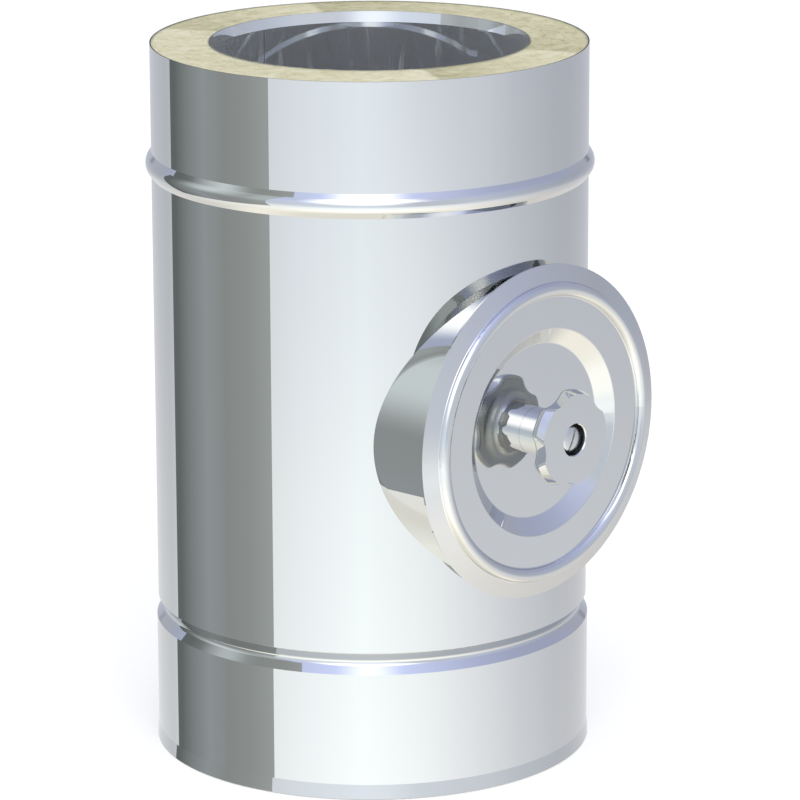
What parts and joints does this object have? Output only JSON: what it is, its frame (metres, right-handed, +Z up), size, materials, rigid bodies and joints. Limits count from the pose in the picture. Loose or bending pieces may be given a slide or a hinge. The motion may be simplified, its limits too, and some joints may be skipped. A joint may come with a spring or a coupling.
{
  "type": "flue pipe with inspection door",
  "caption": "Insulated metal flue pipe length with a round side branch, a removable inspection lid held by a star knob, and slip joints at top and bottom.",
  "frame": {"origin": "centre of the bottom edge of the casing, on the pipe axis", "axes": "+Z up the pipe axis towards the flared liner mouth; the inspection door faces -Y; +X is to the right when the door is seen from the front"},
  "size_m": [0.2156, 0.2411, 0.3456],
  "materials": {
    "casing_steel": "bright polished stainless sheet",
    "liner_steel": "bright rolled stainless sheet",
    "lid_steel": "bright polished pressed stainless",
    "knob_steel": "polished turned steel",
    "stud_steel": "plated threaded steel",
    "clamp_steel": "plain rolled steel",
    "mineral_wool": "loose fibrous mineral wool",
    "seal_rubber": "dark silicone rubber",
    "woven_seal": "woven glass fibre tape"
  },
  "bodies": {
    "pipe": {"outer_casing": "casing_steel", "inner_liner": "liner_steel", "insulation": "mineral_wool", "door_neck": "casing_steel", "liner_collar": "liner_steel", "neck_face_ring": "liner_steel", "neck_insulation": "mineral_wool", "centring_bracket_1": "liner_steel", "centring_bracket_2": "liner_steel", "centring_bracket_3": "liner_steel"},
    "lid": {"outer_lid": "lid_steel", "outer_gasket": "seal_rubber", "inner_lid": "liner_steel", "inner_gasket": "woven_seal", "spacer_tube": "liner_steel", "lid_insulation": "mineral_wool"},
    "knob": {"star_knob": "knob_steel"},
    "clamp": {"stud": "stud_steel", "clamp_bar": "clamp_steel", "washer": "clamp_steel", "inner_nut": "stud_steel", "outer_nut": "stud_steel"}
  },
  "joints": [
    {"name": "lid_slide", "type": "slide", "parent": "pipe", "child": "lid", "axis": [0, -1, 0], "range_m": [0, 0.14]},
    {"name": "knob_turn", "type": "hinge", "parent": "lid", "child": "knob", "pos_m": [0, -0.12, 0.1727], "axis": [0, -1, 0], "range_deg": [0, 2160]},
    {"name": "clamp_travel", "type": "slide", "parent": "pipe", "child": "clamp", "axis": [0, 1, 0], "range_m": [0, 0.0105]}
  ],
  "couplings": [
    {"joint": "clamp_travel", "follows": "knob_turn", "m_per_rad": 0.00027852}
  ]
}
